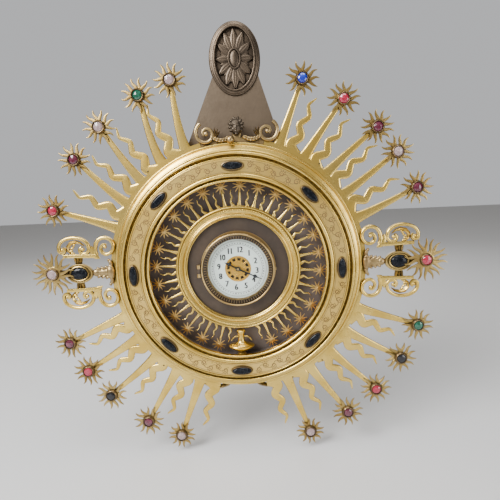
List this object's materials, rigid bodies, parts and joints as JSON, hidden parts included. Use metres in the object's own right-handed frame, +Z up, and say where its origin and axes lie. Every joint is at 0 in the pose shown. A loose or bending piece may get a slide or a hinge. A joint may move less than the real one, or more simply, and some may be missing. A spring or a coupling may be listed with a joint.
{
  "type": "monstrance glory wall clock",
  "caption": "Jewelled gilt sunburst of straight rays and flames round a deep ring, with a small hinged clock in the middle, hung from an oval boss on a back plate.",
  "frame": {"origin": "mouth of the blind hanging hole in the boss behind the oval hanger, on the wall plane", "axes": "+Y into the wall along the hanging hole, +Z up, +X to the viewer's right; the front faces -Y"},
  "size_m": [0.342, 0.0349, 0.3557],
  "materials": {
    "aged_gilt": "aged gilt, softly polished",
    "engraved_gilt": "satin gilt with engraved scrolls",
    "dull_gilt": "dull gilt with dirt in the recesses",
    "bronze_patina": "brown patina, matt",
    "dark_brown": "dark brown, matt",
    "dark_mask": "nearly black patina",
    "black_agate": "polished, opaque",
    "ruby": "cut and polished",
    "garnet": "cut and polished",
    "pale_stone": "cut and polished",
    "emerald": "cut and polished",
    "onyx": "polished, opaque",
    "sapphire": "cut and polished",
    "clock_brass": "brushed, lacquered",
    "filigree_gold": "bright gilt",
    "dial_white": "white enamel paint, satin",
    "steel": "polished steel",
    "blued_steel": "blued spring steel",
    "black_hands": "black, satin",
    "crystal": "clear, domed"
  },
  "bodies": {
    "glory": {"back_plate": "bronze_patina", "wall_pads": "dark_brown", "hanger_frame": "bronze_patina", "hanger_rosette": "bronze_patina", "spacer_ring": "dark_brown", "fixing_screws": "aged_gilt", "main_ring": "aged_gilt", "engraved_band": "engraved_gilt", "agate_collets": "dull_gilt", "agate_cabochons": "black_agate", "ray_plate_upper_right": "aged_gilt", "ray_plate_upper_left": "aged_gilt", "ray_plate_lower_right": "aged_gilt", "ray_plate_lower_left": "aged_gilt", "ray_stars": "aged_gilt", "gem_collets": "dull_gilt", "gems_ruby": "ruby", "gems_garnet": "garnet", "gems_pale": "pale_stone", "gems_green": "emerald", "gems_onyx": "onyx", "gem_sapphire": "sapphire", "side_suns": "aged_gilt", "scroll_panels": "aged_gilt", "side_settings": "aged_gilt", "leaf_brackets": "aged_gilt", "crest_scrolls": "dull_gilt", "crest_mask": "dark_mask", "stem_bracket": "aged_gilt", "inner_ray_plate": "aged_gilt", "small_stars": "aged_gilt", "inner_bezel": "aged_gilt", "baluster_post": "aged_gilt", "surround_disc": "dark_brown", "clock_case": "clock_brass", "rear_cover": "clock_brass", "dial": "dial_white", "dial_centre": "filigree_gold", "sight_ring": "clock_brass", "movement_plates": "clock_brass", "plate_pillars": "clock_brass", "hairspring": "blued_steel"},
    "bezel": {"clock_bezel": "clock_brass", "crystal": "crystal"},
    "minute_train": {"centre_arbor": "steel", "minute_hand": "black_hands", "setting_knob": "clock_brass"},
    "hour_train": {"hour_wheel": "clock_brass", "hour_hand": "black_hands"},
    "motion_wheel": {"minute_wheel": "clock_brass"},
    "centre": {"centre_wheel": "clock_brass"},
    "third": {"third_wheel": "clock_brass"},
    "fourth": {"fourth_wheel": "clock_brass"},
    "escape": {"escape_wheel": "clock_brass"},
    "pallet": {"pallet_lever": "steel"},
    "balance": {"balance_wheel": "clock_brass"},
    "going_barrel": {"barrel": "clock_brass", "mainspring": "blued_steel"},
    "winding": {"winding_key": "clock_brass"}
  },
  "joints": [
    {"name": "minute_hand_turn", "type": "hinge", "parent": "glory", "child": "minute_train", "pos_m": [-0.0047, -0.018, -0.167], "axis": [0, 1, 0], "continuous": true},
    {"name": "hour_hand_turn", "type": "hinge", "parent": "glory", "child": "hour_train", "pos_m": [-0.0047, -0.018, -0.167], "axis": [0, 1, 0], "continuous": true},
    {"name": "minute_wheel_turn", "type": "hinge", "parent": "glory", "child": "motion_wheel", "pos_m": [0.00153, -0.017, -0.1706], "axis": [0, 1, 0], "continuous": true},
    {"name": "fourth_wheel_turn", "type": "hinge", "parent": "glory", "child": "fourth", "pos_m": [-0.00339, -0.0125, -0.15494], "axis": [0, 1, 0], "continuous": true},
    {"name": "third_wheel_turn", "type": "hinge", "parent": "glory", "child": "third", "pos_m": [0.00302, -0.0125, -0.16052], "axis": [0, 1, 0], "continuous": true},
    {"name": "centre_wheel_turn", "type": "hinge", "parent": "glory", "child": "centre", "pos_m": [-0.0047, -0.012, -0.167], "axis": [0, 1, 0], "continuous": true},
    {"name": "escape_wheel_turn", "type": "hinge", "parent": "glory", "child": "escape", "pos_m": [-0.01068, -0.012, -0.15804], "axis": [0, 1, 0], "continuous": true},
    {"name": "barrel_turn", "type": "hinge", "parent": "glory", "child": "going_barrel", "pos_m": [-0.0047, -0.0115, -0.1796], "axis": [0, 1, 0], "continuous": true},
    {"name": "winding_key_turn", "type": "hinge", "parent": "glory", "child": "winding", "pos_m": [-0.0047, -0.008, -0.1796], "axis": [0, 1, 0], "continuous": true},
    {"name": "pallet_swing", "type": "hinge", "parent": "glory", "child": "pallet", "pos_m": [-0.01595, -0.012, -0.15995], "axis": [0, 1, 0], "range_deg": [-5, 5]},
    {"name": "balance_swing", "type": "hinge", "parent": "glory", "child": "balance", "pos_m": [-0.02153, -0.0125, -0.16554], "axis": [0, 1, 0], "range_deg": [-150, 150], "stiffness_Nm_per_rad": 0.0000021},
    {"name": "bezel_open", "type": "hinge", "parent": "glory", "child": "bezel", "pos_m": [-0.0367, -0.0246, -0.167], "axis": [0, 0, -1], "range_deg": [0, 110]}
  ],
  "couplings": [
    {"joint": "hour_hand_turn", "follows": "minute_hand_turn", "ratio": 0.083333},
    {"joint": "minute_wheel_turn", "follows": "minute_hand_turn", "ratio": -0.33333},
    {"joint": "third_wheel_turn", "follows": "fourth_wheel_turn", "ratio": -0.13333},
    {"joint": "centre_wheel_turn", "follows": "fourth_wheel_turn", "ratio": 0.016667},
    {"joint": "escape_wheel_turn", "follows": "fourth_wheel_turn", "ratio": -10},
    {"joint": "barrel_turn", "follows": "fourth_wheel_turn", "ratio": -0.0027778}
  ]
}
